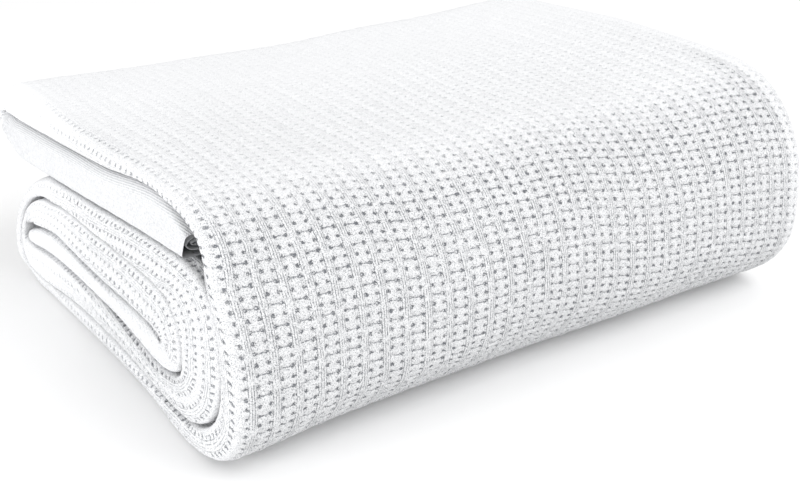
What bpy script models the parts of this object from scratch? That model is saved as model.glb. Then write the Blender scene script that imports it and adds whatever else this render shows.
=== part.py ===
"""A waffle-weave cotton blanket, folded four cloth layers deep into a strip and rolled flat into a pile.

One sheet of cloth. Both side edges are folded to the middle and both folds to the middle again, which gives a
strip of four layers. The strip is then rolled flat, seven plies high. Seen from the pile's left end it runs
from its free end under the top ply to the back, forward as the top ply, down the front, back as the lowest
ply, up the back, and so on inward.

Frame: +X along the long front face, +Y to the back, +Z up, origin under the middle of the pile, at its base.
The tables are in millimetres, y from the front face, z from the floor.
"""

import math
from collections import namedtuple

import bpy

MM = 0.001

# Driving dimensions, in millimetres.
LENGTH = 422.0  # along X, the folded strip's width
DEPTH = 322.0  # along Y
HEIGHT = 144.0  # in the middle of the pile
CLOTH = 2.6  # thickness of the sheet
LAYERS = 4
SIDE_ROUND = 11.0  # how far the strip's folded sides round off, along X
MIDDLE_ROUND = 6.0  # the same for the folds that meet in the middle of the strip
MIDDLE_GAP = 3.0  # half the gap between those folds, hidden inside the strip
INNER_TURN_ROOM = 1.35  # how far the inner turn at a side stands in from the outer one, in cloth thicknesses

FLAT_SHARES = (0.0, 0.33, 0.67, 1.0)  # sections along each ply
ACROSS_STEPS = 2  # steps along each flat half layer
OUTER_TURN_STEPS = 6
INNER_TURN_STEPS = 3

# The plies, in the order that the cloth runs through them. outer is the height of the strip's unbroken side,
# inner that of the side where its halves meet, each at the front, in the middle and at the back of the ply.
Ply = namedtuple("Ply", "front_y back_y outer inner runs_back")
PLIES = {
    "tucked": Ply(60.0, 282.0, (111.0, 103.5, 93.5), (125.5, 126.5, 118.5), True),
    "top": Ply(75.0, 282.0, (142.5, 144.0, 141.5), (130.0, 129.0, 120.5), False),
    "lowest": Ply(62.0, 290.0, (0.0, 0.0, 0.0), (13.5, 15.0, 12.8), True),
    "upper_core": Ply(78.0, 236.0, (108.0, 102.8, 94.5), (79.5, 81.0, 78.0), False),
    "lower_core": Ply(78.0, 274.0, (15.5, 17.0, 15.3), (31.0, 33.5, 28.3), True),
    "middle": Ply(96.0, 243.0, (78.3, 79.0, 72.0), (49.5, 50.0, 47.5), False),
    "innermost": Ply(96.0, 270.0, (33.5, 36.0, 29.8), (47.8, 48.3, 42.0), True),
}

# The turns that join one ply to the next, with the (y, z) that the outer and inner side reach furthest out.
Turn = namedtuple("Turn", "outer_nose inner_nose roundness steps")
TURNS = {
    ("tucked", "top"): Turn((319.0, 116.5), (297.0, 119.5), 1.0, 7),
    ("top", "lowest"): Turn((0.0, 52.0), (22.0, 58.0), 0.9, 9),
    ("lowest", "upper_core"): Turn((322.0, 24.0), (308.0, 27.0), 1.15, 7),
    ("upper_core", "lower_core"): Turn((24.5, 60.0), (60.0, 55.0), 0.9, 6),
    ("lower_core", "middle"): Turn((302.5, 31.0), (289.0, 32.5), 1.1, 5),
    ("middle", "innermost"): Turn((64.0, 54.0), (88.0, 48.6), 0.95, 5),
}

# How far each ply's folded side stands in from the pile's left end and from its right end.
SIDE_INSETS = {
    "tucked": (3.0, 4.0),
    "top": (1.0, 1.0),
    "lowest": (1.5, 3.0),
    "upper_core": (1.0, 4.0),
    "lower_core": (1.0, 5.0),
    "middle": (3.0, 6.0),
    "innermost": (5.0, 6.0),
}

# The pile's unevenness: how far the cloth sinks or rises.
TOP_DIP = 2.0
BACK_DIP = 4.0
RIGHT_RISE = 5.0
FRONT_EDGE_LIFT = 4.5
RIGHT_EDGE_LIFT = 2.5

COTTON = (0.90, 0.90, 0.89, 1.0)

# One section of the strip: the (y, z) of its outer and inner side, and how far its two folded sides stand in.
Section = namedtuple("Section", "outer inner insets")


def blend(start, end, share):
    return start + (end - start) * share


def eased(value, start, end):
    """0 below start, 1 above end, smooth between."""
    share = min(1.0, max(0.0, (value - start) / (end - start)))
    return share * share * (3.0 - 2.0 * share)


def bowed(heights, share):
    """The height along a flat run from its heights at the front, in the middle and at the back."""
    front, middle, back = heights
    bow = 4.0 * share * (1.0 - share)
    return blend(front, back, share) + bow * (middle - 0.5 * (front + back))


def flat_section(name, along):
    """The section of a ply that lies the share along of the way from where the cloth enters it."""
    ply = PLIES[name]
    share = along if ply.runs_back else 1.0 - along
    y = blend(ply.front_y, ply.back_y, share)
    return Section((y, bowed(ply.outer, share)), (y, bowed(ply.inner, share)), SIDE_INSETS[name])


def quarter(level, nose, angle, roundness):
    """A point on the quarter turn from where the cloth runs level to its nose, where it stands upright."""
    y = blend(level[0], nose[0], math.sin(angle) ** roundness)
    z = blend(nose[1], level[1], math.cos(angle) ** roundness)
    return y, z


def turn_sections(before, after):
    """The sections round the turn between two plies, without the two that the plies hold already."""
    turn = TURNS[before, after]
    last, first = flat_section(before, 1.0), flat_section(after, 0.0)
    for step in range(1, turn.steps):
        share = step / turn.steps
        near = last if share <= 0.5 else first
        angle = math.pi * min(share, 1.0 - share)
        outer = quarter(near.outer, turn.outer_nose, angle, turn.roundness)
        inner = quarter(near.inner, turn.inner_nose, angle, turn.roundness)
        insets = tuple(blend(a, b, share) for a, b in zip(last.insets, first.insets))
        yield Section(outer, inner, insets)


def sections():
    """Every section of the strip, from its free end under the top ply to the one at the core."""
    names = list(PLIES)
    found = []
    for before, name in zip([None] + names, names):
        if before:
            found.extend(turn_sections(before, name))
        found.extend(flat_section(name, along) for along in FLAT_SHARES)
    return found


def flat_layer(start, end, depth):
    return [(blend(start, end, step / ACROSS_STEPS), depth) for step in range(ACROSS_STEPS + 1)]


def fold(centre, half_width, half_depth, way, steps):
    """The sheet's elliptical turn between two layers, without its ends. way is 1 towards the outer side."""
    start = math.pi / 2 * way
    points = []
    for step in range(1, steps):
        angle = blend(start, -start, step / steps)
        points.append((centre[0] + half_width * math.cos(angle), centre[1] + half_depth * math.sin(angle)))
    return points


def half_profile(thick, side, offset):
    """One face of the sheet, from its hem in the middle of the strip to the middle of the unbroken side.

    thick is the strip's thickness, side the distance to its folded side, and offset half the cloth's
    thickness, above zero for the face inside the wide turn at the side. A point is its distance from the
    middle and its depth below the strip's outer side.
    """
    pitch = (thick - CLOTH) / (LAYERS - 1)
    depth = [CLOTH / 2 + pitch * layer for layer in range(LAYERS)]
    bend = side - SIDE_ROUND  # where the layers end and the turns at the side begin
    meet = MIDDLE_GAP + MIDDLE_ROUND  # where the turn at the middle begins
    inner_fold = fold(
        (bend, (depth[1] + depth[2]) / 2),
        SIDE_ROUND - INNER_TURN_ROOM * CLOTH - CLOTH / 2 + offset,
        pitch / 2 + offset,
        -1,
        INNER_TURN_STEPS,
    )
    middle_fold = fold(
        (meet, (depth[2] + depth[3]) / 2),
        -(MIDDLE_ROUND - CLOTH / 2 - offset),
        pitch / 2 - offset,
        -1,
        INNER_TURN_STEPS,
    )
    outer_fold = fold(
        (bend, thick / 2),
        SIDE_ROUND - CLOTH / 2 - offset,
        thick / 2 - CLOTH / 2 - offset,
        1,
        OUTER_TURN_STEPS,
    )
    return [
        *flat_layer(MIDDLE_GAP, bend, depth[1] - offset),
        *inner_fold,
        *flat_layer(bend, meet, depth[2] + offset),
        *middle_fold,
        *flat_layer(meet, bend, depth[3] - offset),
        *outer_fold,
        *flat_layer(bend, 0.0, depth[0] + offset),
    ]


def profile(thick, insets, offset):
    """One face of the whole sheet across the strip, from hem to hem."""
    left = half_profile(thick, LENGTH / 2 - insets[0], offset)
    right = half_profile(thick, LENGTH / 2 - insets[1], offset)
    return [(-x, depth) for x, depth in left[:-1]] + right[::-1]


def settle(x, y, z):
    """Dips along the top and its back edge, a fuller right side and a lifted lower front edge."""
    height = z / HEIGHT
    back = eased(y, 180.0, 300.0)
    low_front = (1.0 - height) * (1.0 - eased(y, 4.0, 46.0))
    z -= TOP_DIP * height * (1.0 - back) * eased(150.0 - abs(x), 0.0, 60.0)
    z -= BACK_DIP * height * back * eased(200.0 - abs(x), 0.0, 150.0)
    z += RIGHT_RISE * height * (1.0 - back) * eased(x, 110.0, 195.0)
    z += FRONT_EDGE_LIFT * low_front * eased(x, -200.0, -100.0)
    z += RIGHT_EDGE_LIFT * low_front * eased(x, 90.0, 170.0)
    return x, y, z


def place(section, thick, point):
    """A point of the profile carried to its section of the strip."""
    x, depth = point
    y = blend(section.outer[0], section.inner[0], depth / thick)
    z = blend(section.outer[1], section.inner[1], depth / thick)
    x, y, z = settle(x, y, z)
    return x * MM, (y - DEPTH / 2) * MM, z * MM


def quad_faces(a, b, c, d):
    return [(a, b, c), (a, c, d)]


def sheet():
    """The vertices and faces of the closed sheet: its two faces, its hems and its two free ends."""
    vertices = []
    rows = []
    for section in sections():
        thick = math.dist(section.outer, section.inner)
        inside = profile(thick, section.insets, CLOTH / 2)
        outside = profile(thick, section.insets, -CLOTH / 2)
        loop = inside + outside[::-1]
        rows.append(range(len(vertices), len(vertices) + len(loop)))
        vertices.extend(place(section, thick, point) for point in loop)
    faces = []
    count = len(rows[0])
    for row, ahead in zip(rows, rows[1:]):
        for i in range(count):
            k = (i + 1) % count
            faces.extend(quad_faces(row[i], row[k], ahead[k], ahead[i]))
    first, last = rows[0], rows[-1]
    for i in range(count // 2 - 1):
        k = count - 1 - i
        faces.extend(quad_faces(first[k], first[k - 1], first[i + 1], first[i]))
        faces.extend(quad_faces(last[i], last[i + 1], last[k - 1], last[k]))
    return vertices, faces


def cotton():
    material = bpy.data.materials.new("white_cotton")
    material.use_nodes = True
    shader = material.node_tree.nodes["Principled BSDF"]
    shader.inputs["Base Color"].default_value = COTTON
    shader.inputs["Roughness"].default_value = 0.9
    shader.inputs["Metallic"].default_value = 0.0
    return material


def main():
    for old in list(bpy.data.objects):
        bpy.data.objects.remove(old, do_unlink=True)
    mesh = bpy.data.meshes.new("blanket")
    vertices, faces = sheet()
    mesh.from_pydata(vertices, [], faces)
    mesh.shade_smooth()
    mesh.materials.append(cotton())
    blanket = bpy.data.objects.new("blanket", mesh)
    bpy.context.scene.collection.objects.link(blanket)


main()
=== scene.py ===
"""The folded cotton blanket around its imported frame.

One sheet of cellular cotton, folded four layers deep into a strip and rolled flat, seven plies high. The
folded sheet runs through the whole pile, and the open weave on the strip's outward face is modelled over it,
wherever that face or its folded sides can be seen.

Frame: +X along the long front face, +Y to the back, +Z up, origin under the middle of the pile, at its base.
Sizes are in millimetres, y from the front face, z from the floor, and turn to metres when a mesh is made.
"""

import math
from collections import namedtuple

import bpy
import numpy as np
from mathutils import Matrix, Vector


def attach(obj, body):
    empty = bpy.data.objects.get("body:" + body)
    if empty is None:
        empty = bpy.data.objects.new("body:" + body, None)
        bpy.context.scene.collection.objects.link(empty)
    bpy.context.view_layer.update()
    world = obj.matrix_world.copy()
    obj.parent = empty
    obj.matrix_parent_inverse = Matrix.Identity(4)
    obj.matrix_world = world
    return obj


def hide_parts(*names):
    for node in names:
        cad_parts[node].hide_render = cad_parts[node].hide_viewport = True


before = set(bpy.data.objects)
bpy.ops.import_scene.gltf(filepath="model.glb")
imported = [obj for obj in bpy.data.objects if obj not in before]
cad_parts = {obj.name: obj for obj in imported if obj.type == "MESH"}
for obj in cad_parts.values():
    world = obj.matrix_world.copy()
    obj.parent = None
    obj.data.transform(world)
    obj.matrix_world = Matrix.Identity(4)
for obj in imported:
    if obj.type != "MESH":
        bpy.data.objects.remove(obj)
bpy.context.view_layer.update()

MM = 0.001
TINY = 1e-12  # the least length that a vector is divided by

# The pile, as the frame has it.
LENGTH = 422.0  # along X, the folded strip's width
DEPTH = 322.0
HEIGHT = 144.0
LAYERS = 4
SIDE_ROUND = 11.0  # how far the strip's folded sides round off, along X
MIDDLE_ROUND = 6.0  # the same for the folds that meet in the middle of the strip
MIDDLE_GAP = 3.0  # half the gap between those folds

# The lines along which the plies press on each other, as (y, z) seen from the pile's left end, and the top.
LINES = {
    "top": ((75.0, 142.5), (178.0, 144.0), (282.0, 141.5)),
    "under_top": (
        (44.0, 121.5), (48.0, 125.0), (58.0, 130.5), (68.0, 134.5), (80.0, 136.5), (104.0, 136.0),
        (130.0, 134.0), (158.0, 132.0), (188.0, 129.5), (254.0, 121.5), (285.0, 118.5), (312.0, 119.0),
    ),
    "over_core": (
        (46.0, 115.0), (54.0, 113.8), (84.0, 111.0), (136.0, 107.0), (195.0, 102.0), (252.0, 94.5),
        (290.0, 90.5),
    ),
    "in_core": (
        (77.0, 81.5), (95.0, 85.5), (134.0, 85.0), (200.0, 84.5), (230.0, 81.5), (242.0, 78.0), (268.0, 69.0),
        (295.0, 59.0),
    ),
    "over_centre": (
        (86.0, 49.0), (90.0, 54.0), (120.0, 56.0), (184.0, 55.5), (236.0, 56.5), (250.0, 55.0), (273.0, 49.5),
        (285.0, 46.5), (295.0, 38.0),
    ),
    "under_centre": (
        (82.0, 33.5), (95.0, 33.0), (110.0, 36.5), (144.0, 40.5), (173.0, 42.0), (204.0, 41.5), (237.0, 39.5),
        (262.0, 36.5), (286.0, 31.5),
    ),
    "over_lowest": (
        (57.0, 17.0), (76.0, 16.5), (101.0, 18.0), (120.0, 21.0), (148.0, 22.5), (192.0, 22.5), (216.0, 20.5),
        (233.0, 18.0), (263.0, 13.0), (290.0, 9.0),
    ),
    "floor": ((62.0, 0.0), (290.0, 0.0)),
}
LINE_SOFTNESS = 14.0
LINE_SAMPLES = 9
PRESS_GAP = 0.35  # half the gap that is left between two plies

# The plies, in the order that the cloth runs through them: the y where each side of the ply starts and ends,
# the lines that its outer and its inner side follow, and whether the cloth runs to the back.
Ply = namedtuple("Ply", "front_y inner_front_y back_y inner_back_y outer inner runs_back")
PLIES = {
    "tucked": Ply(50.0, 50.0, 282.0, 290.0, "over_core", "under_top", True),
    "top": Ply(75.0, 75.0, 282.0, 290.0, "top", "under_top", False),
    "lowest": Ply(62.0, 62.0, 290.0, 285.0, "floor", "over_lowest", True),
    "upper_core": Ply(60.0, 86.0, 236.0, 236.0, "over_core", "in_core", False),
    "lower_core": Ply(62.0, 96.0, 280.0, 284.0, "over_lowest", "under_centre", True),
    "middle": Ply(96.0, 108.0, 243.0, 276.0, "in_core", "over_centre", False),
    "innermost": Ply(96.0, 108.0, 294.0, 294.0, "under_centre", "over_centre", True),
}

# The turns that join one ply to the next: the (y, z) that each side reaches furthest out, and how hollow each
# side is before and after that, 1 for an ellipse and less for a fuller turn.
Turn = namedtuple("Turn", "outer_nose inner_nose outer_hollow inner_hollow")
TURNS = {
    ("tucked", "top"): Turn((319.0, 116.5), (309.0, 119.5), (1.0, 1.0), (1.0, 1.0)),
    ("top", "lowest"): Turn((0.0, 52.0), (15.5, 66.0), (0.9, 0.9), (0.82, 1.1)),
    ("lowest", "upper_core"): Turn((321.0, 24.0), (308.0, 24.0), (1.0, 1.35), (0.9, 1.1)),
    ("upper_core", "lower_core"): Turn((16.2, 66.0), (62.0, 57.0), (0.62, 1.12), (0.8, 0.8)),
    ("lower_core", "middle"): Turn((307.0, 25.0), (298.5, 33.5), (0.95, 1.15), (0.8, 0.8)),
    ("middle", "innermost"): Turn((63.0, 57.5), (90.0, 51.0), (0.8, 0.8), (0.8, 0.8)),
}

# How far each ply's folded side stands in from the pile's left end and from its right end, and how much
# further it does so half way round a turn.
SIDE_INSETS = {
    "tucked": (2.0, 4.0),
    "top": (2.0, 1.5),
    "lowest": (1.5, 3.0),
    "upper_core": (1.5, 4.0),
    "lower_core": (1.5, 5.0),
    "middle": (2.5, 6.0),
    "innermost": (3.0, 6.0),
}
TURN_INSETS = {("top", "lowest"): (0.0, 3.0)}

# The pile's unevenness. Each amount is how far the cloth sinks, rises or draws in. The spans with it are
# where that starts and where it is full or, at an edge, where it starts to fade and where it ends.
BACK_Y = (180.0, 300.0)
TOP_DIP = 2.0
TOP_DIP_EDGE_X = (90.0, 150.0)
BACK_DIP = 4.0
BACK_DIP_EDGE_X = (50.0, 200.0)
RIGHT_RISE = 4.0
RIGHT_RISE_X = (110.0, 195.0)
LEFT_RISE = 2.0
LEFT_RISE_X = (90.0, 180.0)
LEFT_RISE_EDGE_Y = (110.0, 220.0)
FRONT_TUCK = 4.5
FRONT_TUCK_X = (160.0, 200.0)
FRONT_TUCK_EDGE_Y = (90.0, 150.0)
FRONT_TUCK_Z = (108.0, 130.0)
BASE_TUCK = 3.5
BASE_TUCK_X = (150.0, 200.0)
BASE_TUCK_Y = (60.0, 130.0)
BASE_TUCK_EDGE_Z = (5.0, 17.0)
CRUMPLE = 1.6
CRUMPLE_X = (188.0, 200.0)
CRUMPLE_Y = (292.0, 304.0)
CRUMPLE_Z = (98.0, 106.0)
CRUMPLE_EDGE_Z = (124.0, 132.0)
CRUMPLE_FOLD = 1.7
CRUMPLE_BEND = 1.5
CRUMPLE_BEND_Z = 4.0
CRUMPLE_WAVE = (3.1, 6.0, 0.0)

# The cloth's slow waves. A wave is how far it runs in a radian along each of two directions, and its phase.
OFF_FLOOR_Z = (4.0, 40.0)
WAVE_HEIGHT = 0.8
BROAD_WAVES = ((37.0, 61.0, 0.6), (-90.0, 43.0, 1.1))
SMALL_WAVE = (19.0, -31.0, 2.0)
SMALL_WAVE_SHARE = 0.6
FRONT_PUSH = 0.7
FRONT_PUSH_EDGE_Y = (20.0, 90.0)
FRONT_WAVES = ((33.0, 27.0, 0.0), (-71.0, 19.0, 0.4))

# How far the lower front edge is lifted off the floor, as (x, lift), from the left end to the right one.
HEM_LIFT = (
    (-200.0, 0.0), (-173.0, 2.5), (-150.0, 6.0), (-127.0, 8.0), (-77.0, 10.7), (-20.0, 11.2), (12.0, 11.0),
    (50.0, 8.2), (80.0, 7.2), (115.0, 7.3), (143.0, 6.8), (162.0, 4.6), (185.0, 4.4), (206.0, 3.0),
)
HEM_SOFTNESS = 10.0
HEM_EDGE_Y = (4.0, 46.0)

# The path that the strip follows: its steps along a flat run and round a turn, the even step that it is then
# given, and how far it is smoothed.
FLAT_STEPS = 60
TURN_STEPS = 90
PATH_STEP = 1.0
PATH_SOFTNESS = 3.0
END_ROUND = 6.0  # how far before its free end at the core the strip closes
END_FULLNESS = 0.1  # and what is left of its thickness there

# How square the strip's folded sides are, towards its outer and its inner face, where they are free and
# pressed, and how far past the tucked ply's end and the upper core's start the one turns to the other.
FREE_SIDE = (2.3, 6.0)
PRESSED_SIDE = (6.0, 6.0)
FREE_FROM = (30.0, 60.0)
PRESSED_FROM = (-20.0, 20.0)
SIDE_STEPS = 48
SIDE_FINENESS = 8  # how many times finer the turn is measured than it is kept

# The cellular weave. It repeats every PAIR across the strip and every REPEAT along it: two columns of holes
# with pillows between them, then a rib of cords, and a row of holes joined in pairs, then a row of single
# ones.
PAIR = 13.4
REPEAT = 11.25
FIRST_PAIR_X = -192.1
HOLE_COLUMN = 0.235  # from the middle of a pair, as a share of PAIR
JOINED_ROW = 0.25  # from the start of a repeat, as a share of REPEAT
PIT_DEPTH = 1.5
PIT_RADIUS = 0.75
VALLEY_DEPTH = 0.3
VALLEY_SPREAD = 1.1
GROOVE_DEPTH = 0.45
GROOVE_SPREAD = 0.9
CROWN_HEIGHT = 0.25
WEAVE_SINK = 0.18
WEAVE_UNEVENNESS = 0.18
WEAVE_TURNS = ((2.9, 1.7), (-1.0, 2.3))  # radians of the unevenness for each pair and each repeat
BORDER_SINK = 0.25
BORDER_UNEVENNESS = 0.12
BORDER_TURNS = ((5.1, 1.0), (-1.3, 2.2))

# How the weave wanders across and along the strip: how far, and the wave that it follows.
DRIFT = ((0.5, (1.7, 2.9, 0.0)), (0.35, (-2.3, 1.3, 1.0)))
SWAY = ((0.7, (2.1, 5.3, 0.0)), (0.4, (0.9, -3.7, 0.0)))

SIDE_START = 203.0  # how far from the strip's middle the weave starts to be drawn out round the folded side
SIDE_STRETCH = 1.5
ROW_DROP = (29.0, 19.0)  # how far the rows run down towards the right, linear and squared share
ROW_DROP_SPAN = 362.0
ROW_DROP_LIMIT = 1.2  # the share past which the drop goes on in a straight line

# The plain borders: how far past the tucked ply's end and the innermost one's start the weave changes, and
# how much of the open weave is lost in the border at the core.
FREE_BORDER = (34.0, 37.0)
CORE_BORDER = (-33.0, -30.0)
CORE_BORDER_SHARE = 0.6

# Where the holes show less, each with the share of their strength that is lost there: their relief is
# shallower there and the shade painted into them lighter, most on top, where light from above fills them.
# At the left rim and in the right crease the top loses less, by the share that is kept.
TOP_LOSS = 0.72
TOP_LOSS_BEHIND = 0.2
TOP_LOSS_BEHIND_Y = (90.0, 250.0)
TOP_FROM = (45.0, 95.0)  # past the tucked ply's end
TOP_TO = (5.0, 60.0)  # past the top ply's end
LEFT_RIM_KEPT = 0.6
LEFT_RIM_X = (196.0, 205.0)
LEFT_RIM_EDGE_Y = (200.0, 300.0)
RIGHT_CREASE_KEPT = 0.6
RIGHT_CREASE_X = (176.0, 184.0)
RIGHT_CREASE_EDGE_X = (187.0, 194.0)
RIGHT_CREASE_EDGE_Y = (60.0, 110.0)
LEFT_BACK_LOSS = 0.65
LEFT_BACK_X = (190.0, 200.0)
LEFT_BACK_Y = (150.0, 270.0)
LEFT_END_LOSS = 0.3
LEFT_END_X = (197.0, 206.0)
RIGHT_END_LOSS = 0.5
RIGHT_END_X = (190.0, 200.0)
FAINT_RELIEF = 0.2  # what is left of the relief where the holes don't show


def even_marks(count):
    return tuple(step / count for step in range(count))


# The mesh lines in each repeat of the weave, as shares of it.
FINE_ROWS = 12
FINE_ACROSS = (0.0, 0.09, 0.18, 0.265, 0.35, 0.43, 0.5, 0.57, 0.65, 0.735, 0.82, 0.91)
FINE_ALONG = even_marks(FINE_ROWS)
MEDIUM_ALONG = even_marks(10)
FEWER_ACROSS = (0.0, 0.13, 0.265, 0.38, 0.5, 0.62, 0.735, 0.87)
FEWER_ALONG = even_marks(8)
SIDE_ACROSS = even_marks(17)
COARSE = (0.0, 0.17, 0.33, 0.5, 0.67, 0.83)

LONGEST_TURN = 3.4  # of the turns at the folded sides, in side rounds
INNER_REACH = 9.0  # how far the weave goes on past a folded side onto the strip's inner side
SIDE_BAND = 32.0  # how far from the pile's end the mesh lines of a folded side alone start
FLAT_BAND = 5.0  # how much of the flat face such a side has
NORMAL_STEP = 0.5  # the length over which the face's slope is measured
PLAIN_STRIPES = (0.6, 0.74)  # the shares of a folded side between which the border's fine stripes come in

SHEET_SINK = 2.5  # how deep the folded sheet lies under the weave's highest points
SINK_LIMIT = 0.35  # the same at most, as a share of the strip's thickness
LEAST_COVER = 0.3  # between the weave's lowest points and the sheet
SHEET_CLOTH = 0.7
SHEET_START = 2.5
SHEET_STEP = 9.0
FLAT_POINTS = 7
INNER_FOLD_ROOM = 2.5  # how far the inner turn at a side stands in from the outer one
INNER_FOLD_STEPS = 6
OUTER_FOLD_STEPS = 12

# Where the pieces meet along the strip. Before the flap and from the core on, only the folded sides show.
TUCKED_TO_FLAP = -14.0  # past the tucked ply's end
FRONT_TO_UNDERSIDE = 25.0  # past the lowest ply's start
UNDERSIDE_TO_BACK = -15.0  # past the lowest ply's end
BACK_TO_CORE = 50.0  # past the upper core's start


def eased(value, span):
    """0 before the span, 1 past it, smooth between."""
    start, end = span
    share = np.clip((value - start) / (end - start), 0.0, 1.0)
    return share * share * (3.0 - 2.0 * share)


def fading(value, span):
    """1 before the span, 0 past it, smooth between."""
    return 1.0 - eased(value, span)


def blend(start, end, share):
    return start + (end - start) * share


def ripple(first, second, wave):
    return np.sin(first / wave[0] + second / wave[1] + wave[2])


def bell(value, spread):
    return np.exp(-0.5 * (value / spread) ** 2)


def unit(vectors):
    return vectors / np.maximum(np.linalg.norm(vectors, axis=-1, keepdims=True), TINY)


# ---------------------------------------------------------------- the strip's path


def height_on(line, y):
    """The height of a line at y, averaged over a short way so that it has no corners."""
    points = np.array(LINES[line])
    around = y + np.linspace(-LINE_SOFTNESS, LINE_SOFTNESS, LINE_SAMPLES)
    return float(np.interp(around, points[:, 0], points[:, 1]).mean())


def flat_row(name, along):
    """The strip's outer (y, z), inner (y, z) and two side insets, a share of the way along a ply."""
    ply = PLIES[name]
    share = along if ply.runs_back else 1.0 - along
    outer_y = blend(ply.front_y, ply.back_y, share)
    inner_y = blend(ply.inner_front_y, ply.inner_back_y, share)
    outer_z = height_on(ply.outer, outer_y)
    inner_z = height_on(ply.inner, inner_y)
    if ply.outer != "top" and ply.outer != "floor":
        outer_z += PRESS_GAP * (1.0 if inner_z > outer_z else -1.0)
    inner_z += PRESS_GAP * (1.0 if outer_z > inner_z else -1.0)
    return (outer_y, outer_z, inner_y, inner_z, *SIDE_INSETS[name])


def quarter(level, nose, angle, hollow):
    """A point on the quarter turn from where the cloth runs level to its nose, where it stands upright."""
    y = blend(level[0], nose[0], math.sin(angle) ** hollow)
    z = blend(nose[1], level[1], math.cos(angle) ** hollow)
    return y, z


def turn_row(before, after, share):
    """The same row as for a ply, a share of the way round the turn between two plies."""
    turn = TURNS[before, after]
    last = flat_row(before, 1.0)
    first = flat_row(after, 0.0)
    half = 0 if share <= 0.5 else 1
    near = (last, first)[half]
    angle = math.pi * min(share, 1.0 - share)
    outer = quarter(near[0:2], turn.outer_nose, angle, turn.outer_hollow[half])
    inner = quarter(near[2:4], turn.inner_nose, angle, turn.inner_hollow[half])
    more = TURN_INSETS.get((before, after), (0.0, 0.0))
    insets = [blend(a, b, share) + c * math.sin(angle) for a, b, c in zip(last[4:6], first[4:6], more)]
    return (*outer, *inner, *insets)


def lengths_along(points):
    steps = np.hypot(*np.diff(points, axis=0).T)
    return np.concatenate(([0.0], np.cumsum(steps)))


def softened(rows):
    """Rows averaged along the path, so that no kink is left between a flat run and a turn."""
    reach = int(3 * PATH_SOFTNESS / PATH_STEP)
    offsets = np.arange(-reach, reach + 1)
    weights = bell(offsets * PATH_STEP, PATH_SOFTNESS)
    padded = np.pad(rows, ((reach, reach), (0, 0)), mode="edge")
    columns = [np.convolve(column, weights / weights.sum(), mode="valid") for column in padded.T]
    return np.stack(columns, 1)


def strip_path():
    """The strip's rows at even steps along its outer side, and where each ply starts and ends along it."""
    rows = []
    spans = {}
    names = list(PLIES)
    for before, name in zip([None] + names, names):
        if before:
            rows.extend(turn_row(before, name, step / TURN_STEPS) for step in range(1, TURN_STEPS))
        first = len(rows)
        rows.extend(flat_row(name, step / FLAT_STEPS) for step in range(FLAT_STEPS + 1))
        spans[name] = (first, len(rows) - 1)
    rows = np.array(rows)
    length = lengths_along(rows[:, 0:2])
    spans = {name: (length[first], length[last]) for name, (first, last) in spans.items()}
    even = np.arange(0.0, length[-1], PATH_STEP)
    rows = softened(np.stack([np.interp(even, length, column) for column in rows.T], 1))
    from_end = np.minimum((even[-1] - even) / END_ROUND, 1.0)
    fullness = np.maximum(np.sqrt(1.0 - (1.0 - from_end) ** 2), END_FULLNESS)[:, None]
    middle = 0.5 * (rows[:, 0:2] + rows[:, 2:4])
    rows[:, 0:2] = blend(middle, rows[:, 0:2], fullness)
    rows[:, 2:4] = blend(middle, rows[:, 2:4], fullness)
    return even, rows, spans


PATH_LENGTHS, PATH_ROWS, PLY_SPANS = strip_path()
PATH_END = PATH_LENGTHS[-1]
TUCKED_END = PLY_SPANS["tucked"][1]
TOP_END = PLY_SPANS["top"][1]
LOWEST_START, LOWEST_END = PLY_SPANS["lowest"]
UPPER_CORE_START = PLY_SPANS["upper_core"][0]
INNERMOST_START = PLY_SPANS["innermost"][0]


def path_at(along):
    """Outer y and z, inner y and z, and the left and right inset, each at these lengths along the strip."""
    return [np.interp(along, PATH_LENGTHS, column) for column in PATH_ROWS.T]


def past(along, place, span):
    """0 to 1 as the strip runs through a span that is measured from a place along it."""
    return eased(along, (place + span[0], place + span[1]))


# ---------------------------------------------------------------- the pile's unevenness


def hem_lift(x):
    places, lifts = np.array(HEM_LIFT).T
    around = [np.interp(x + offset, places, lifts) for offset in (-HEM_SOFTNESS, 0.0, HEM_SOFTNESS)]
    return sum(around) / len(around)


def crumple(x, y, z):
    """The small folds at the left end of the turn that leads to the top ply."""
    place = eased(-x, CRUMPLE_X) * eased(y, CRUMPLE_Y) * eased(z, CRUMPLE_Z) * fading(z, CRUMPLE_EDGE_Z)
    folds = np.sin(y / CRUMPLE_FOLD + CRUMPLE_BEND * np.sin(z / CRUMPLE_BEND_Z))
    return CRUMPLE * place * folds * ripple(z, y, CRUMPLE_WAVE)


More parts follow.
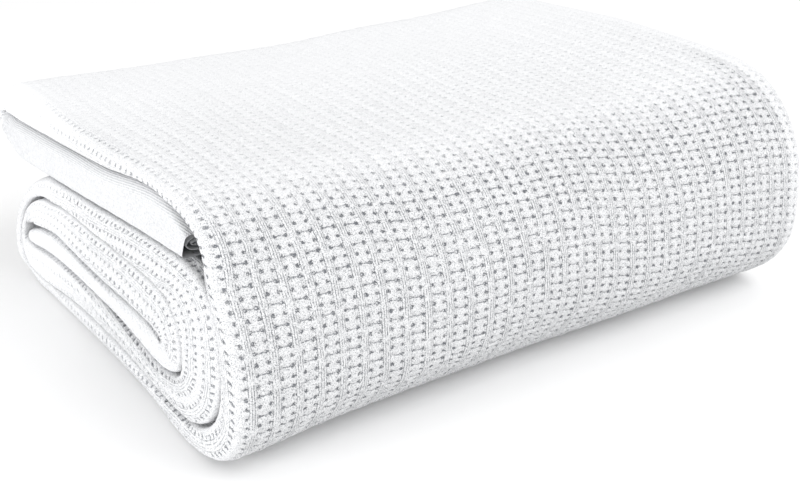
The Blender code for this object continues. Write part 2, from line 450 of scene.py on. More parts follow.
def settled(x, y, z):
    """The pile's dips and rises as the frame has them, with the softer unevenness of the cloth over them."""
    height = z / HEIGHT
    at_back = eased(y, BACK_Y)
    off_floor = eased(z, OFF_FLOOR_Z)
    rise = -TOP_DIP * height * (1.0 - at_back) * fading(abs(x), TOP_DIP_EDGE_X)
    rise -= BACK_DIP * height * at_back * fading(abs(x), BACK_DIP_EDGE_X)
    rise += RIGHT_RISE * height * (1.0 - at_back) * eased(x, RIGHT_RISE_X)
    rise += LEFT_RISE * height**3 * fading(y, LEFT_RISE_EDGE_Y) * eased(-x, LEFT_RISE_X)
    rise += hem_lift(x) * (1.0 - height) * fading(y, HEM_EDGE_Y)
    waves = ripple(x, y, BROAD_WAVES[0]) * ripple(x, y, BROAD_WAVES[1])
    waves += SMALL_WAVE_SHARE * ripple(x, y, SMALL_WAVE)
    rise += WAVE_HEIGHT * off_floor * waves
    push = FRONT_PUSH * ripple(x, z, FRONT_WAVES[0]) * ripple(x, z, FRONT_WAVES[1])
    push *= off_floor * fading(y, FRONT_PUSH_EDGE_Y)
    inward = FRONT_TUCK * eased(-x, FRONT_TUCK_X) * fading(y, FRONT_TUCK_EDGE_Y) * eased(z, FRONT_TUCK_Z)
    inward += BASE_TUCK * eased(-x, BASE_TUCK_X) * eased(y, BASE_TUCK_Y) * fading(z, BASE_TUCK_EDGE_Z)
    inward += crumple(x, y, z)
    return x + inward, y + push, z + rise


def placed(x, y, z):
    """Points of the pile in the frame, in metres, one row each."""
    x, y, z = settled(x, y, z)
    return np.stack([x, y - DEPTH / 2, z], -1) * MM


# ---------------------------------------------------------------- the strip's outward face


def side_shapes():
    """The turn at a folded side for each step of the path: how far out and how deep it lies at even shares of
    its length, and that length.
    """
    free = past(PATH_LENGTHS, TUCKED_END, FREE_FROM)
    free = free * (1.0 - past(PATH_LENGTHS, UPPER_CORE_START, PRESSED_FROM))
    outer_y, outer_z, inner_y, inner_z, _, _ = PATH_ROWS.T
    thick = np.hypot(outer_y - inner_y, outer_z - inner_z)
    angle = np.linspace(0.0, math.pi, SIDE_FINENESS * SIDE_STEPS + 1)
    out, deep, turn = [], [], []
    for number, share in enumerate(free):
        toward_outer, toward_inner = (blend(a, b, share) for a, b in zip(PRESSED_SIDE, FREE_SIDE))
        power = 2.0 / np.where(angle < math.pi / 2, toward_outer, toward_inner)
        x = SIDE_ROUND * np.sin(angle).clip(0.0) ** power
        depth = 0.5 * thick[number] * (1.0 - np.sign(np.cos(angle)) * abs(np.cos(angle)) ** power)
        length = lengths_along(np.stack([x, depth], 1))
        even = np.linspace(0.0, length[-1], SIDE_STEPS + 1)
        out.append(np.interp(even, length, x))
        deep.append(np.interp(even, length, depth) / thick[number])
        turn.append(length[-1])
    return np.array(out), np.array(deep), np.array(turn)


SIDE_OUT, SIDE_DEEP, SIDE_TURN = side_shapes()


def between_steps(table, along, share):
    """The table's value at a length along the path and a share of its turn."""
    row = np.clip(along / PATH_STEP, 0.0, len(table) - 1.0)
    column = np.clip(share, 0.0, 1.0) * SIDE_STEPS
    i = np.minimum(row.astype(int), len(table) - 2)
    k = np.minimum(column.astype(int), SIDE_STEPS - 1)
    first = blend(table[i, k], table[i, k + 1], column - k)
    second = blend(table[i + 1, k], table[i + 1, k + 1], column - k)
    return blend(first, second, row - i)


def side_limits(along, across):
    """How far from the middle the flat face ends and how long the turn at the side is."""
    left, right = path_at(along)[4:6]
    bend = LENGTH / 2 - np.where(across < 0.0, left, right) - SIDE_ROUND
    return bend, np.interp(along, PATH_LENGTHS, SIDE_TURN)


def outward(across, along):
    """Points of the strip's outward face, in metres. across goes round the folded sides and on inside."""
    outer_y, outer_z, inner_y, inner_z, _, _ = path_at(along)
    bend, turn = side_limits(along, across)
    beyond = abs(across) - bend
    x = np.minimum(abs(across), bend) - np.maximum(beyond - turn, 0.0)
    x = x + between_steps(SIDE_OUT, along, beyond / turn)
    share = between_steps(SIDE_DEEP, along, beyond / turn)
    y = blend(outer_y, inner_y, share)
    z = blend(outer_z, inner_z, share)
    return placed(np.sign(across) * x, y, z)


def outward_normals(across, along):
    across_way = outward(across + NORMAL_STEP, along) - outward(across - NORMAL_STEP, along)
    along_way = outward(across, along + NORMAL_STEP) - outward(across, along - NORMAL_STEP)
    return unit(np.cross(along_way, across_way))


# ---------------------------------------------------------------- the weave


def row_drop(across):
    share = (across - FIRST_PAIR_X) / ROW_DROP_SPAN
    linear, squared = ROW_DROP
    return linear * share + squared * np.clip(share, 0.0, ROW_DROP_LIMIT) * share


def wander(pair, repeat, waves):
    return sum(size * ripple(pair, repeat, wave) for size, wave in waves)


def weave_to_cloth(pair, repeat):
    """Where a point of the weave lies on the strip: how far across and along, in millimetres."""
    across = FIRST_PAIR_X + (pair - 0.5) * PAIR + wander(pair, repeat, DRIFT)
    along = repeat * REPEAT + row_drop(across) + wander(pair, repeat, SWAY)
    round_side = np.maximum(abs(across) - SIDE_START, 0.0)
    return across + np.sign(across) * (SIDE_STRETCH - 1.0) * round_side, along


def mottle(pair, repeat, turns):
    """A cloudy unevenness over the weave, from -1 to 1."""
    first, second = (np.sin(pair * turn[0] + repeat * turn[1]) for turn in turns)
    return first * second


def relief(pair, repeat):
    """The open weave's depth below its highest points, in millimetres, 0 or less."""
    from_pair = abs(pair % 1.0 - 0.5)
    hole_across = (from_pair - HOLE_COLUMN) * PAIR
    hole_along = abs((2.0 * repeat) % 1.0 - 0.5) * REPEAT / 2
    groove_along = (repeat % 1.0 - JOINED_ROW) * REPEAT
    pit = bell(hole_across, PIT_RADIUS) * bell(hole_along, PIT_RADIUS)
    groove = bell(groove_along, GROOVE_SPREAD) * (from_pair < HOLE_COLUMN)
    depth = PIT_DEPTH * pit + VALLEY_DEPTH * bell(hole_across, VALLEY_SPREAD) + GROOVE_DEPTH * groove
    depth += CROWN_HEIGHT * fading(from_pair, (HOLE_COLUMN, 0.5)) + WEAVE_SINK
    depth += WEAVE_UNEVENNESS * mottle(pair, repeat, WEAVE_TURNS)
    return -np.clip(depth, 0.0, SHEET_SINK - LEAST_COVER)


def border_relief(pair, repeat):
    """The plain border's depth below its highest points, in millimetres, 0 or less."""
    return BORDER_UNEVENNESS * mottle(pair, repeat, BORDER_TURNS) - BORDER_SINK


def openness(along):
    """1 where the weave is open, 0 in the plain border at the free end and less than 1 in the core's."""
    at_core = past(along, INNERMOST_START, CORE_BORDER)
    return past(along, TUCKED_END, FREE_BORDER) * (1.0 - CORE_BORDER_SHARE * at_core)


def strength_at(x, y, along):
    """How plainly the holes show, in their relief and in the shade painted into them: less on top, where
    light from above fills them, at the back of the left end and round both ends.
    """
    on_top = past(along, TUCKED_END, TOP_FROM) * (1.0 - past(along, TOP_END, TOP_TO))
    left_rim = eased(-x, LEFT_RIM_X) * fading(y, LEFT_RIM_EDGE_Y)
    right_crease = eased(x, RIGHT_CREASE_X) * fading(x, RIGHT_CREASE_EDGE_X) * fading(y, RIGHT_CREASE_EDGE_Y)
    on_top *= (1.0 - LEFT_RIM_KEPT * left_rim) * (1.0 - RIGHT_CREASE_KEPT * right_crease)
    lost = (TOP_LOSS + TOP_LOSS_BEHIND * eased(y, TOP_LOSS_BEHIND_Y)) * on_top
    lost_behind = LEFT_BACK_LOSS * eased(-x, LEFT_BACK_X) * eased(y, LEFT_BACK_Y)
    lost_at_ends = LEFT_END_LOSS * eased(-x, LEFT_END_X) + RIGHT_END_LOSS * eased(x, RIGHT_END_X)
    return (1.0 - lost) * (1.0 - lost_behind) * (1.0 - lost_at_ends)


def weave_lines(start, end, marks):
    """The mesh lines from start to end, with these marks in each repeat of the weave."""
    whole = np.arange(math.floor(start), math.ceil(end) + 1)
    lines = (whole[:, None] + np.array(marks)[None, :]).ravel()
    return lines[(lines >= start) & (lines <= end)]


def grid_faces(rows, columns):
    first = np.arange((rows - 1) * columns).reshape(rows - 1, columns)[:, :-1]
    return np.stack([first, first + 1, first + columns + 1, first + columns], -1).reshape(-1, 4)


def vertex_normals(points, faces):
    corners = points[faces]
    flat = np.cross(corners[:, 2] - corners[:, 0], corners[:, 3] - corners[:, 1])
    normals = np.zeros_like(points)
    for corner in range(4):
        np.add.at(normals, faces[:, corner], flat)
    return unit(normals)


def mesh_piece(name, points, faces, normals, weave, material):
    """A smooth piece from these points, without those that no face uses."""
    used, numbers = np.unique(faces, return_inverse=True)
    faces = numbers.reshape(faces.shape)
    mesh = bpy.data.meshes.new(name)
    mesh.from_pydata(points[used], [], faces.tolist())
    mesh.shade_smooth()
    mesh.normals_split_custom_set_from_vertices(normals[used])
    attribute = mesh.attributes.new("weave", "FLOAT_VECTOR", "POINT")
    attribute.data.foreach_set("vector", weave[used, :3].astype(np.float32).ravel())
    attribute = mesh.attributes.new("strength", "FLOAT", "POINT")
    attribute.data.foreach_set("value", weave[used, 3].astype(np.float32))
    mesh.materials.append(material)
    piece = bpy.data.objects.new(name, mesh)
    bpy.context.scene.collection.objects.link(piece)
    return piece


# Which of its limits a point of the grid lies past.
BEFORE_START, PAST_END, PAST_HIGH, PAST_LOW = 1, 2, 4, 8


def weave_grid(start, end, sides, across_marks, along_marks):
    """The outward face with its weave between two lengths along the strip.

    sides is 0 for the whole width, -1 for the left folded side alone and 1 for the right one.
    Returns the points, faces, normals and weave coordinates.
    """
    reach = LENGTH / 2 + LONGEST_TURN * SIDE_ROUND + INNER_REACH
    band = LENGTH / 2 - SIDE_BAND
    across_from, across_to = {0: (-reach, reach), -1: (-reach, -band), 1: (band, reach)}[sides]
    first_pair = (across_from - FIRST_PAIR_X) / PAIR
    last_pair = (across_to - FIRST_PAIR_X) / PAIR + 1.0
    first_repeat = (start - row_drop(across_to)) / REPEAT - 1.0
    last_repeat = (end - row_drop(across_from)) / REPEAT + 1.0
    pairs = weave_lines(first_pair, last_pair, across_marks)
    repeats = weave_lines(first_repeat, last_repeat, along_marks)
    pair, repeat = np.meshgrid(pairs, repeats)
    across, along = weave_to_cloth(pair, repeat)
    limits = np.zeros(across.shape, int)
    limits[along < start] = BEFORE_START
    limits[along > end] = PAST_END
    along = np.clip(along, start, end)
    bend, turn = side_limits(along, across)
    high = bend + turn + INNER_REACH
    low = bend - FLAT_BAND if sides else -high
    way = sides or 1
    limits[across * way > high] |= PAST_HIGH
    limits[across * way < low] |= PAST_LOW
    across = np.clip(across * way, low, high) * way

    share = openness(along)
    smooth = outward(across, along)
    strength = strength_at(smooth[..., 0] / MM, smooth[..., 1] / MM + DEPTH / 2, along)
    depth = share * relief(pair, repeat) * blend(FAINT_RELIEF, 1.0, strength)
    depth += (1.0 - share) * border_relief(pair, repeat)
    points = smooth + outward_normals(across, along) * (depth * MM)[..., None]
    strength = blend(eased((abs(across) - bend) / turn, PLAIN_STRIPES), strength, share)

    faces = grid_faces(*pair.shape)
    beyond = np.bitwise_and.reduce(limits.ravel()[faces], axis=1) > 0
    faces = faces[~beyond][:, ::-1]
    weave = np.stack([pair, repeat, share, strength], -1).reshape(-1, 4)
    points = points.reshape(-1, 3)
    return points, faces, vertex_normals(points, faces), weave


def weave_pieces(names, start, end, sides, across_marks, along_marks, material):
    """The grid as one piece or, with more names, cut along rows of the weave into as many."""
    points, faces, normals, weave = weave_grid(start, end, sides, across_marks, along_marks)
    row = weave[faces, 1].mean(1)
    cuts = np.quantile(row, np.linspace(0.0, 1.0, len(names) + 1)[1:-1])
    cuts = [round(cut * FINE_ROWS) / FINE_ROWS for cut in cuts]
    part = np.searchsorted(cuts, row)
    pieces = []
    for number, name in enumerate(names):
        pieces.append(mesh_piece(name, points, faces[part == number], normals, weave, material))
    return pieces


# ---------------------------------------------------------------- the folded sheet under the weave


def fold(centre, half_width, half_depth, way, steps):
    """The sheet's elliptical turn between two layers, without its ends. way is 1 towards the outer side."""
    start = math.pi / 2 * way
    angles = blend(start, -start, np.arange(1, steps) / steps)
    return [(centre[0] + half_width * math.cos(a), centre[1] + half_depth * math.sin(a)) for a in angles]


def half_profile(thick, side, offset):
    """One face of the sheet, from its hem in the middle of the strip to the middle of the unbroken side.

    thick is the strip's thickness, side the distance to its folded side, and offset half the cloth's
    thickness, above zero for the face inside the wide turn at the side. A point is its distance from the
    middle and its depth below the strip's outer side.
    """
    pitch = (thick - SHEET_CLOTH) / (LAYERS - 1)
    depth = [SHEET_CLOTH / 2 + pitch * layer for layer in range(LAYERS)]
    round_off = SIDE_ROUND - SHEET_SINK
    bend = side - round_off
    meet = MIDDLE_GAP + MIDDLE_ROUND
    hem_run = np.linspace(MIDDLE_GAP, bend, FLAT_POINTS)
    run = np.linspace(bend, meet, FLAT_POINTS)
    outer_run = np.linspace(bend, 0.0, FLAT_POINTS)
    inner_half = round_off - INNER_FOLD_ROOM - SHEET_CLOTH / 2 + offset
    inner_middle = (bend, (depth[1] + depth[2]) / 2)
    inner_fold = fold(inner_middle, inner_half, pitch / 2 + offset, -1, INNER_FOLD_STEPS)
    middle_half = MIDDLE_ROUND - SHEET_CLOTH / 2 - offset
    middle_middle = (meet, (depth[2] + depth[3]) / 2)
    middle_fold = fold(middle_middle, -middle_half, pitch / 2 - offset, -1, INNER_FOLD_STEPS)
    outer_half = round_off - SHEET_CLOTH / 2 - offset
    outer_depth = thick / 2 - SHEET_CLOTH / 2 - offset
    outer_fold = fold((bend, thick / 2), outer_half, outer_depth, 1, OUTER_FOLD_STEPS)
    return [
        *((x, depth[1] - offset) for x in hem_run),
        *inner_fold,
        *((x, depth[2] + offset) for x in run),
        *middle_fold,
        *((x, depth[3] - offset) for x in run[::-1]),
        *outer_fold,
        *((x, depth[0] + offset) for x in outer_run),
    ]


def profile(thick, insets, offset):
    """One face of the whole sheet across the strip, from hem to hem."""
    left = half_profile(thick, LENGTH / 2 - SHEET_SINK - insets[0], offset)
    right = half_profile(thick, LENGTH / 2 - SHEET_SINK - insets[1], offset)
    return [(-x, depth) for x, depth in left[:-1]] + right[::-1]


def folded_sheet(material):
    """The whole cloth as one closed sheet, folded and rolled, just under the weave of its outward face."""
    sections = []
    for along in np.arange(SHEET_START, PATH_END - END_ROUND, SHEET_STEP):
        outer_y, outer_z, inner_y, inner_z, left, right = (float(value) for value in path_at(along))
        whole = math.hypot(outer_y - inner_y, outer_z - inner_z)
        sink = min(SHEET_SINK, SINK_LIMIT * whole)
        thick = whole - 2 * sink
        inside = profile(thick, (left, right), SHEET_CLOTH / 2)
        outside = profile(thick, (left, right), -SHEET_CLOTH / 2)
        loop = np.array(inside + outside[::-1])
        share = (loop[:, 1] + sink) / whole
        y = blend(outer_y, inner_y, share)
        z = blend(outer_z, inner_z, share)
        sections.append(placed(loop[:, 0], y, z))
    count = len(sections[0])
    points = np.concatenate(sections)
    last = len(points) - count
    faces = []
    for start in range(0, last, count):
        for i in range(count):
            k = (i + 1) % count
            faces.append((start + i, start + k, start + count + k, start + count + i))
    for i in range(count // 2 - 1):
        k = count - 1 - i
        faces.append((k, k - 1, i + 1, i))
        faces.append((last + i, last + i + 1, last + k - 1, last + k))
    faces = np.array(faces)
    weave = np.zeros((len(points), 4))
    weave[:, 0] = points[:, 0] / (PAIR * MM)
    return mesh_piece("folded_sheet", points, faces, vertex_normals(points, faces), weave, material)


# ---------------------------------------------------------------- materials

# YARN is the cotton's own colour. The colour after it is painted shade: the holes, slits, cord and strand
# lines and the plain border's valleys are mixed towards it as the shade that falls in them. The random specks
# and clouds mix between the two as well.
YARN = (0.83, 0.834, 0.844)
SHADED_YARN = (0.21, 0.222, 0.244)
WHITE = (1.0, 1.0, 1.0, 1.0)

# The noises in the cotton: the scale, detail and roughness. The scale is to the metre, and for the strands to
# their own size.
GRAIN = (1800.0, 1.0, 0.6)
TUFTS = (650.0, 1.0, 0.5)
GAPS = (230.0, 1.0, 0.5)
CLOUDS = (60.0, 1.0, 0.5)
STRANDS = (1.0, 1.0, 0.5)

# The marks in the cotton, in millimetres where they are lengths. Each mark sinks the bump and is painted
# darker, as the shade that falls in it. An edge is where a mark is full and where it ends.
HOLE_RADIUS = 1.0
HOLE_EDGE = (-0.4, 0.2)  # from the radius
HOLE_RAGGEDNESS = (1.9, 1.8)  # by tufts and by grain
HOLE_DIFFERENCE = 0.1  # between the two holes of a pair
HOLE_UNEVENNESS = 0.35
SLIT_EDGE = (0.12, 0.5)
SLIT_RAGGEDNESS = 0.6
SLIT_TAIL = 1.7
SLIT_DARKNESS = 0.68
SLIT_STRENGTH = (1.0, 0.55)
RIB_EDGE = (0.32, 0.27)  # from the middle of a pair
CORDS_TO_PAIR = 9.0
CORD_EDGE = (0.04, 0.17)
CORD_RAGGEDNESS = (0.5, 0.4)  # by tufts and by clouds
CORD_GAP_EDGE = (0.44, 0.66)
CORD_DARKNESS = 0.75
STRAND_SIZE = (0.62, 1.5)  # across and along
STRAND_EDGE = (-0.16, -0.03)
STRAND_DARKNESS = 0.3
STRIPE_PITCH = 0.95
STRIPE_HEIGHT = 0.8
CHECK_PITCH = (1.9, 1.25)  # across and along
CHECK_HEIGHT = 0.7
PLAIN_RAGGEDNESS = 1.6
PLAIN_EDGE = (-0.8, 0.5)
# The plain border's painted shade in its valleys, and a darker tone all over it.
PLAIN_DARKNESS = (0.3, 0.11)  # in its valleys and all over
BRIGHTNESS = 0.93
CLOUD_BRIGHTNESS = 0.05
SPECKS = (0.6, 2.5)  # all over, and more where the weave is open
FAINT_POWER = 0.6  # how slowly the specks fade with the holes
SUNK_HEIGHT = -1.2
LINE_HEIGHT = -1.6
GRAIN_HEIGHT = 1.4
PLAIN_HEIGHT = 0.3
BUMP_DEPTH = 0.6


class Graph:
    """Short names for the nodes of a material."""

    def __init__(self, material):
        self.tree = material.node_tree

    def node(self, kind, **settings):
        made = self.tree.nodes.new(kind)
        for name, value in settings.items():
            setattr(made, name, value)
        return made

    def put(self, socket, value):
        if isinstance(value, bpy.types.NodeSocket):
            self.tree.links.new(value, socket)
        else:
            socket.default_value = value

    def math(self, operation, *values, clamp=False):
        made = self.node("ShaderNodeMath", operation=operation, use_clamp=clamp)
        for socket, value in zip(made.inputs, values):
            self.put(socket, value)
        return made.outputs[0]

    def add(self, first, *others):
        for other in others:
            first = self.math("ADD", first, other)
        return first

    def less(self, first, second):
        return self.math("SUBTRACT", first, second)

    def times(self, first, *others):
        for other in others:
            first = self.math("MULTIPLY", first, other)
        return first

    def above(self, value, limit):
        return self.math("GREATER_THAN", value, limit)

    def below(self, value, limit):
        return self.math("LESS_THAN", value, limit)

    def from_half(self, value):
        """How far the value's fraction lies from one half, below zero before it."""
        return self.less(self.math("FRACT", value), 0.5)

    def distance(self, value):
        return self.math("ABSOLUTE", value)

    def wave(self, value, size, pitch):
        """A wave along a weave coordinate whose unit has this size."""
        return self.math("SINE", self.times(value, size * 2.0 * math.pi / pitch))

    def fall(self, value, full, none):
        """1 where value is full or past it, 0 at none and past that, smooth between."""
        made = self.node("ShaderNodeMapRange", interpolation_type="SMOOTHSTEP")
        self.put(made.inputs["Value"], value)
        self.put(made.inputs["From Min"], none)
        self.put(made.inputs["From Max"], full)
        return made.outputs["Result"]

    def noise(self, vector, scale, detail=2.0, roughness=0.5):
        made = self.node("ShaderNodeTexNoise")
        self.put(made.inputs["Vector"], vector)
        made.inputs["Scale"].default_value = scale
        made.inputs["Detail"].default_value = detail
        made.inputs["Roughness"].default_value = roughness
        return made.outputs["Fac"]

    def noise_about_zero(self, vector, kind):
        return self.less(self.noise(vector, *kind), 0.5)

    def colours(self, value, dark, light):
        made = self.node("ShaderNodeMix", data_type="RGBA")
        self.put(made.inputs["Factor"], value)
        made.inputs["A"].default_value = (*dark, 1.0)
        made.inputs["B"].default_value = (*light, 1.0)
        return made.outputs["Result"]


# What the cotton's marks are made from: the weave's coordinates, how far across from the middle of the pair a
# point lies, its place in metres, and three noises.
Cloth = namedtuple("Cloth", "pair repeat from_middle from_pair metres grain tufts clouds")


def hole_marks(graph, cloth):
    """The holes, and the slits that join them in one row and trail from them in the other. Both sink the bump
    and are painted darker in the colour, as the shade that falls into them.
    """
    side = graph.math("SIGN", cloth.from_middle)
    row = graph.math("SIGN", graph.less(0.5, graph.math("FRACT", cloth.repeat)))
    across = graph.times(graph.less(cloth.from_pair, HOLE_COLUMN), PAIR)
    in_row = graph.from_half(graph.times(cloth.repeat, 2.0))
    along = graph.times(graph.distance(in_row), REPEAT / 2)
    from_hole = graph.math("SQRT", graph.add(graph.times(across, across), graph.times(along, along)))
    by_tufts, by_grain = HOLE_RAGGEDNESS
    ragged = graph.add(from_hole, graph.times(cloth.tufts, by_tufts), graph.times(cloth.grain, by_grain))
    difference = graph.times(side, row, HOLE_DIFFERENCE)
    radius = graph.add(difference, graph.times(cloth.clouds, HOLE_UNEVENNESS), HOLE_RADIUS)
    hole = graph.fall(ragged, graph.add(radius, HOLE_EDGE[0]), graph.add(radius, HOLE_EDGE[1]))
    narrow = graph.fall(graph.add(along, graph.times(cloth.tufts, SLIT_RAGGEDNESS)), *SLIT_EDGE)
    joined = graph.times(narrow, graph.above(row, 0.0), graph.below(cloth.from_pair, HOLE_COLUMN))
    tail_side = graph.times(graph.below(row, 0.0), graph.above(side, 0.0))
    tail_span = graph.times(graph.above(across, 0.0), graph.below(across, SLIT_TAIL))
    slit = graph.math("MAXIMUM", joined, graph.times(narrow, tail_side, tail_span))
    return hole, slit


def cord_marks(graph, cloth):
    """The lines between the cords of a rib, broken here and there: grooves in the bump, painted darker as the
    shade in them.
    """
    on_rib = graph.fall(cloth.from_pair, *RIB_EDGE)
    by_tufts, by_clouds = CORD_RAGGEDNESS
    across = graph.times(cloth.pair, CORDS_TO_PAIR)
    across = graph.add(across, graph.times(cloth.tufts, by_tufts), graph.times(cloth.clouds, by_clouds))
    line = graph.fall(graph.distance(graph.from_half(across)), *CORD_EDGE)
    unbroken = graph.fall(graph.noise(cloth.metres, *GAPS), *CORD_GAP_EDGE)
    return graph.times(line, on_rib, unbroken)


def strand_marks(graph, cloth):
    """Short strokes between the yarn's strands: grooves in the bump, painted darker as the shade in them."""
    strokes = graph.node("ShaderNodeCombineXYZ")
    graph.put(strokes.inputs[0], graph.times(cloth.pair, PAIR / STRAND_SIZE[0]))
    graph.put(strokes.inputs[1], graph.times(cloth.repeat, REPEAT / STRAND_SIZE[1]))
    return graph.fall(graph.noise_about_zero(strokes.outputs[0], STRANDS), *STRAND_EDGE)


def plain_heights(graph, cloth, striped):
    """The plain borders' ups and downs: fine stripes where striped is 1 and small checks where it is 0."""
    stripes = graph.times(graph.wave(cloth.pair, PAIR, STRIPE_PITCH), striped, STRIPE_HEIGHT)
    across = graph.wave(cloth.pair, PAIR, CHECK_PITCH[0])
    along = graph.wave(cloth.repeat, REPEAT, CHECK_PITCH[1])
    checks = graph.times(along, across, graph.less(1.0, striped), CHECK_HEIGHT)
    return graph.add(stripes, checks, graph.times(cloth.tufts, PLAIN_RAGGEDNESS))


def cotton():
    """White cotton: an open weave with its holes, cords and pillows, and plain, finely ribbed borders."""
    material = bpy.data.materials.new("white_cotton")
    material.use_nodes = True
    graph = Graph(material)
    shader = material.node_tree.nodes["Principled BSDF"]
    place = graph.node("ShaderNodeAttribute", attribute_name="weave").outputs["Vector"]
    strength = graph.node("ShaderNodeAttribute", attribute_name="strength").outputs["Fac"]
    split = graph.node("ShaderNodeSeparateXYZ")
    graph.put(split.inputs[0], place)
    pair, repeat, is_open = split.outputs
    metres = graph.node("ShaderNodeTexCoord").outputs["Object"]
    grain, tufts, clouds = (graph.noise_about_zero(metres, kind) for kind in (GRAIN, TUFTS, CLOUDS))
    from_middle = graph.from_half(pair)
    cloth = Cloth(pair, repeat, from_middle, graph.distance(from_middle), metres, grain, tufts, clouds)

    hole, slit = hole_marks(graph, cloth)
    plain = plain_heights(graph, cloth, strength)
    closed = graph.less(1.0, is_open)
    opened = graph.times(is_open, strength)
    # The holes and slits darken the colour as painted shade, fainter where their strength is less.
    slit = graph.times(slit, graph.fall(strength, *SLIT_STRENGTH), SLIT_DARKNESS)
    sunk = graph.times(graph.math("MAXIMUM", hole, slit), opened)
    # Painted shade in the grooves between the cords and between the strands, where the weave is open.
    cords = graph.times(cord_marks(graph, cloth), CORD_DARKNESS)
    strands = graph.times(strand_marks(graph, cloth), STRAND_DARKNESS)
    lines = graph.times(graph.add(cords, strands), opened)
    in_valleys, all_over = PLAIN_DARKNESS
    # In the plain border, painted shade in the valleys of its stripes and checks, and a darker tone all over.
    checks = graph.add(graph.times(graph.fall(plain, *PLAIN_EDGE), in_valleys), all_over)
    # All the painted shade together, with the plain border's darker tone, taken off the cotton's brightness.
    marks = graph.times(graph.add(sunk, lines, graph.times(closed, checks)), -1.0)
    faint = graph.math("POWER", strength, FAINT_POWER)
    speckled = graph.add(graph.times(is_open, faint, SPECKS[1]), SPECKS[0])
    specks = graph.times(grain, speckled)
    light = graph.add(BRIGHTNESS, specks, marks, graph.times(clouds, CLOUD_BRIGHTNESS))
    light = graph.math("MAXIMUM", light, 0.0, clamp=True)
    graph.put(shader.inputs["Base Color"], graph.colours(light, SHADED_YARN, YARN))

    open_height = graph.add(graph.times(sunk, SUNK_HEIGHT), graph.times(lines, LINE_HEIGHT))
    height = graph.add(open_height, graph.times(grain, faint, GRAIN_HEIGHT))
    height = graph.add(height, graph.times(closed, plain, PLAIN_HEIGHT))
    bump = graph.node("ShaderNodeBump")
    bump.inputs["Strength"].default_value = 0.8
    bump.inputs["Distance"].default_value = BUMP_DEPTH * MM
    graph.put(bump.inputs["Height"], height)
    graph.put(shader.inputs["Normal"], bump.outputs["Normal"])
    shader.inputs["Roughness"].default_value = 0.9
    shader.inputs["Specular IOR Level"].default_value = 0.2
    shader.inputs["Sheen Weight"].default_value = 0.1
    shader.inputs["Sheen Roughness"].default_value = 0.6
    return material


FLOOR_COLOURS = ((0.86, 0.86, 0.86), (0.87, 0.87, 0.87))
FLOOR_CLOUDS = 3.0  # to the metre
FLOOR_GLOW = 0.05


def floor_material():
    material = bpy.data.materials.new("studio_floor")
    material.use_nodes = True
    graph = Graph(material)
    shader = material.node_tree.nodes["Principled BSDF"]
    metres = graph.node("ShaderNodeTexCoord").outputs["Object"]
    colour = graph.colours(graph.noise(metres, FLOOR_CLOUDS), *FLOOR_COLOURS)
    graph.put(shader.inputs["Base Color"], colour)
    shader.inputs["Roughness"].default_value = 1.0
    shader.inputs["Specular IOR Level"].default_value = 0.0
    shader.inputs["Emission Color"].default_value = WHITE
    shader.inputs["Emission Strength"].default_value = FLOOR_GLOW
    return material


# ---------------------------------------------------------------- camera, lights and floor

# The camera's place in metres and its angles in degrees: from +Y towards +X, below level, and about its own
# line of sight.
CAMERA_PLACE = (-0.4410, -0.6355, 0.3879)
CAMERA_HEADING = 34.738
CAMERA_DIP = 25.187
CAMERA_ROLL = 0.278
CAMERA_LENS = 57.237
SENSOR_WIDTH = 36.0

# The lamps: place, size and watts.
LAMPS = {
    "front_key": ((0.5, -1.4, 1.5), 1.2, 19.0),
    "left_fill": ((-1.7, -0.1, 0.3), 0.6, 12.5),
}
LAMPS_LOOK_AT = (0.0, 0.0, 0.07)
SKY_LIGHT = 0.93
FLOOR_EDGE = 6.0
FLOOR_DROP = 0.0003  # below the pile, so that the two don't share a plane


def camera():
    data = bpy.data.cameras.new("camera")
    data.lens = CAMERA_LENS
    data.sensor_width = SENSOR_WIDTH
    data.clip_start = 0.02
    data.clip_end = 50.0
    made = bpy.data.objects.new("camera", data)
    turned = Matrix.Rotation(math.radians(-CAMERA_HEADING), 4, "Z")
    turned = turned @ Matrix.Rotation(math.radians(90.0 - CAMERA_DIP), 4, "X")
    turned = turned @ Matrix.Rotation(math.radians(CAMERA_ROLL), 4, "Z")
    made.matrix_world = Matrix.Translation(CAMERA_PLACE) @ turned
    bpy.context.scene.collection.objects.link(made)
    bpy.context.scene.camera = made


def soft_light(name, place, size, watts):
    """A square lamp that looks at the pile."""
    data = bpy.data.lights.new(name, "AREA")
    data.shape = "SQUARE"
    data.size = size
    data.energy = watts
    made = bpy.data.objects.new(name, data)
    made.location = place
    toward = Vector(LAMPS_LOOK_AT) - Vector(place)
    made.rotation_euler = toward.to_track_quat("-Z", "Y").to_euler()
    bpy.context.scene.collection.objects.link(made)


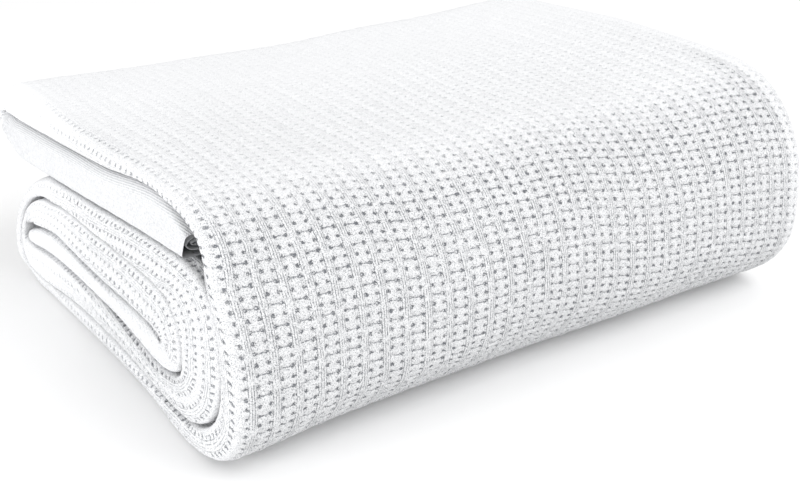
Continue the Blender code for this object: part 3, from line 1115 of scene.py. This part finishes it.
def studio():
    """The white surroundings, the lamps and the floor, which it returns."""
    world = bpy.data.worlds.new("studio")
    world.use_nodes = True
    background = world.node_tree.nodes["Background"]
    background.inputs["Color"].default_value = WHITE
    background.inputs["Strength"].default_value = SKY_LIGHT
    bpy.context.scene.world = world
    for name, (place, size, watts) in LAMPS.items():
        soft_light(name, place, size, watts)
    mesh = bpy.data.meshes.new("floor")
    edge = FLOOR_EDGE
    corners = [(-edge, -edge, 0.0), (edge, -edge, 0.0), (edge, edge, 0.0), (-edge, edge, 0.0)]
    mesh.from_pydata(corners, [], [(0, 1, 2, 3)])
    mesh.materials.append(floor_material())
    floor = bpy.data.objects.new("floor", mesh)
    floor.location.z = -FLOOR_DROP
    bpy.context.scene.collection.objects.link(floor)
    bpy.context.scene.view_settings.view_transform = "Standard"
    return floor


def woven_pieces(material):
    """The outward face's weave, from the free end of the strip to the core."""
    flap_start = TUCKED_END + TUCKED_TO_FLAP
    front_end = LOWEST_START + FRONT_TO_UNDERSIDE
    underside_end = LOWEST_END + UNDERSIDE_TO_BACK
    back_end = UPPER_CORE_START + BACK_TO_CORE
    near = ["flap_weave", "crest_weave", "front_weave"]
    pieces = weave_pieces(near, flap_start, front_end, 0, FINE_ACROSS, FINE_ALONG, material)
    pieces += weave_pieces(["underside_weave"], front_end, underside_end, 0, COARSE, COARSE, material)
    pieces += weave_pieces(["back_weave"], underside_end, back_end, 0, FEWER_ACROSS, FEWER_ALONG, material)
    for side, word, across, along in (
        (-1, "left", SIDE_ACROSS, MEDIUM_ALONG),
        (1, "right", FEWER_ACROSS, FEWER_ALONG),
    ):
        pieces += weave_pieces([f"{word}_flap_side"], 0.0, flap_start, side, across, along, material)
        pieces += weave_pieces([f"{word}_core_side"], back_end, PATH_END, side, across, along, material)
    return pieces


def main():
    camera()
    floor = studio()
    material = cotton()
    sheet = folded_sheet(material)
    pieces = woven_pieces(material)

    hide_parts("blanket")
    for piece in [sheet, *pieces]:
        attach(piece, "root")


main()
